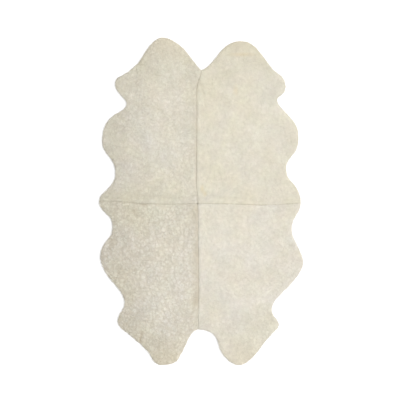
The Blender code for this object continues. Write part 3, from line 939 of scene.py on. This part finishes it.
def lock_strands(line, places_in):
    """The place of every corner in the noise of the fibres, which run along their lock."""
    share = np.linspace(0.0, 1.0, LOCK_RINGS + 2)
    share = np.concatenate([share[:1], np.repeat(share[1:-1], LOCK_SIDES), share[-1:]])
    length = np.linalg.norm(np.diff(line, axis=1), axis=2).sum(axis=1)
    run = length[:, None] * share * STRAND_STRETCH + np.arange(len(line))[:, None] * STRAND_STEP
    return np.concatenate([places_in, run[..., None]], axis=2)


def map_locks(mesh, count, cells):
    """Lays out the bake's map, with a square cell for each lock."""
    columns = int(np.ceil(np.sqrt(count)))
    corner = np.stack(np.divmod(np.arange(count), columns), axis=1)[:, None, None]
    uv = (corner + ATLAS_MARGIN + (1.0 - 2.0 * ATLAS_MARGIN) * cells[None]) / columns
    layer = mesh.uv_layers.new(name=BAKE_MAP)
    layer.uv.foreach_set("vector", uv.astype(np.float32).ravel())


def lock_piece(name, places, ups, surface, open_share, seam_tree, fleece, material):
    """All the locks of one pelt."""
    random = np.random.default_rng(fleece.seed + LOCK_SEED)
    count = len(places)
    middles, own = tufts_at(places, fleece)
    cross_seams(places, middles, own, seam_tree, random)
    coarse = np.interp(np.abs(places[:, 0]), FLANK_REACH, COARSENESS)
    lifts = fleece.lift * coarse**0.5
    line, up = lock_lines(places, ups, middles, own[:, 0], surface, lifts, random)
    girth = LOCK_RADIUS * random.uniform(*GIRTH_SPREAD, (count, 1))
    turn = fleece.turn * coarse[:, None, None] ** 0.5
    depth = LOCK_DEPTH * fleece.relief**0.5
    points, facings, downs, places_in = lock_sections(line, up, girth, turn, depth)

    triangles, cells = lock_faces()
    offsets = np.arange(count)[:, None, None] * points.shape[1]
    mesh = triangle_mesh(name, points.reshape(-1, 3), (triangles[None] + offsets).reshape(-1, 3))
    # Each lock's painted shade from partings, creases and seams, times its own colour spread.
    tint = open_share * (1.0 + fleece.grain * coarse * own[:, 1])
    tint *= random.uniform(*TINT_SPREAD, count)
    set_attribute(mesh, "tip", (tint[:, None] * lock_tips()).ravel())
    set_attribute(mesh, "strand", lock_strands(line, places_in), "FLOAT_VECTOR")
    map_locks(mesh, count, cells)
    piece = add_object(name, mesh, material)
    under = np.repeat(np.arange(LOCK_SIDES) == UNDER_SIDE, len(triangles) // LOCK_SIDES)
    normals = np.where(under[:, None, None], downs[:, triangles], facings[:, triangles])
    mesh.normals_split_custom_set(normals.reshape(-1, 3))
    return piece


def thread_piece(name, line, material):
    """The zigzag thread under one seam, just clear of the floor."""
    middle = along(line * [1.0, 1.0, 0.0], STITCH_PITCH / 2)[1:-1]
    count = len(middle)
    way = unit(np.gradient(middle, axis=0))
    side = np.column_stack([-way[:, 1], way[:, 0], np.zeros(count)])
    swing = STITCH_WIDTH / 2 * np.where(np.arange(count) % 2, 1.0, -1.0)
    path = middle + side * swing[:, None] + [0.0, 0.0, SEAM_RECESS * THREAD_HEIGHT]
    ahead = unit(np.gradient(path, axis=0))
    left = unit(np.cross([0.0, 0.0, 1.0], ahead))
    points, triangles = [], []
    first = np.arange(count - 1)
    for step in range(THREAD_SIDES):
        around = 2.0 * pi * step / THREAD_SIDES
        offset = np.cos(around) * left + np.sin(around) * np.array([0.0, 0.0, 1.0])
        points.append(path + offset * THREAD_RADIUS)
        here, there = first + step * count, first + (step + 1) % THREAD_SIDES * count
        triangles.append(np.column_stack([here, here + 1, there + 1]))
        triangles.append(np.column_stack([here, there + 1, there]))
    for end, flip in ((0, 1), (count - 1, -1)):
        ring = end + np.arange(THREAD_SIDES) * count
        fan = np.column_stack([np.full(THREAD_SIDES - 2, ring[0]), ring[2:], ring[1:-1]])
        triangles.append(fan[:, ::flip])
    mesh = triangle_mesh(name, np.concatenate(points), np.concatenate(triangles))
    return add_object(name, mesh, material)


def build_rug():
    """Makes every piece, and ties it to the frame."""
    suede = suede_material()
    outlines = {f.pelt: hide_outline("pelt_" + f.pelt) for f in FLEECES}
    lines = seam_lines(outlines)
    seam_tree = tree_of(np.concatenate([along(line, SEAM_STEP) for line in lines]))
    bodies = {}
    for fleece in FLEECES:
        node = "pelt_" + fleece.pelt
        wool = wool_material(fleece)
        bodies[fleece] = fleece_piece("fleece_" + fleece.pelt, node, seam_tree, fleece, wool)
        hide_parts(node)
    surface = surface_of(bodies.values())
    for fleece, body in bodies.items():
        outline = outlines[fleece.pelt]
        wool = body.data.materials[0]
        hide = hide_piece("hide_" + fleece.pelt, outline, seam_tree, suede)
        places, ups = lock_places(body, seam_tree, fleece)
        # How open the wool is at each lock, for its painted shade.
        shown = clumps(places, fleece, seam_tree)[1]
        name = "locks_" + fleece.pelt
        locks = lock_piece(name, places, ups, surface, shown, seam_tree, fleece, wool)
        for piece in (hide, body, locks):
            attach(piece, "root")
    thread_look = thread_material()
    for number, line in enumerate(lines, start=1):
        thread = thread_piece("seam_thread_%d" % number, line, thread_look)
        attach(thread, "root")


# ---- The studio -----------------------------------------------------------------------------


def build_floor():
    """A wide floor under the rug."""
    half = FLOOR_SIZE / 2
    mesh = bpy.data.meshes.new("floor")
    corners = [(-half, -half, 0.0), (half, -half, 0.0), (half, half, 0.0), (-half, half, 0.0)]
    mesh.from_pydata(corners, [], [(0, 1, 2, 3)])
    floor = add_object("floor", mesh, floor_material())
    floor.location.z = -FLOOR_DROP


def build_light():
    """The soft key light, aimed at the rug, and the white surroundings."""
    light = bpy.data.lights.new("key", "AREA")
    light.shape = "SQUARE"
    light.size = KEY_SIZE
    light.energy = KEY_POWER
    key = bpy.data.objects.new("key", light)
    key.location = KEY_PLACE
    key.rotation_euler = (-Vector(KEY_PLACE)).to_track_quat("-Z", "Y").to_euler()
    bpy.context.scene.collection.objects.link(key)
    world = bpy.data.worlds.new("surroundings")
    world.use_nodes = True
    background = world.node_tree.nodes["Background"]
    background.inputs["Color"].default_value = (1.0, 1.0, 1.0, 1.0)
    background.inputs["Strength"].default_value = SURROUND
    bpy.context.scene.world = world
    bpy.context.scene.view_settings.view_transform = "Standard"


def build_camera():
    """A camera straight above, which frames the rug as it should lie in the image."""
    low, high = CAD_BOX
    metres_per_pixel = (high.y - low.y) / RUG_PIXELS
    frame_width = PHOTO_PIXELS * metres_per_pixel
    height = frame_width / 2 / (SENSOR / 2 / LENS)
    camera = bpy.data.objects.new("camera", bpy.data.cameras.new("camera"))
    camera.data.lens = LENS
    camera.data.sensor_width = SENSOR
    camera.data.clip_end = 100.0
    middle = PHOTO_PIXELS / 2
    x = (middle - RUG_CENTRE_PIXEL[0]) * metres_per_pixel
    y = (RUG_CENTRE_PIXEL[1] - middle) * metres_per_pixel
    camera.location = (x, y, height)
    bpy.context.scene.collection.objects.link(camera)
    bpy.context.scene.camera = camera


build_rug()
build_floor()
build_light()
build_camera()
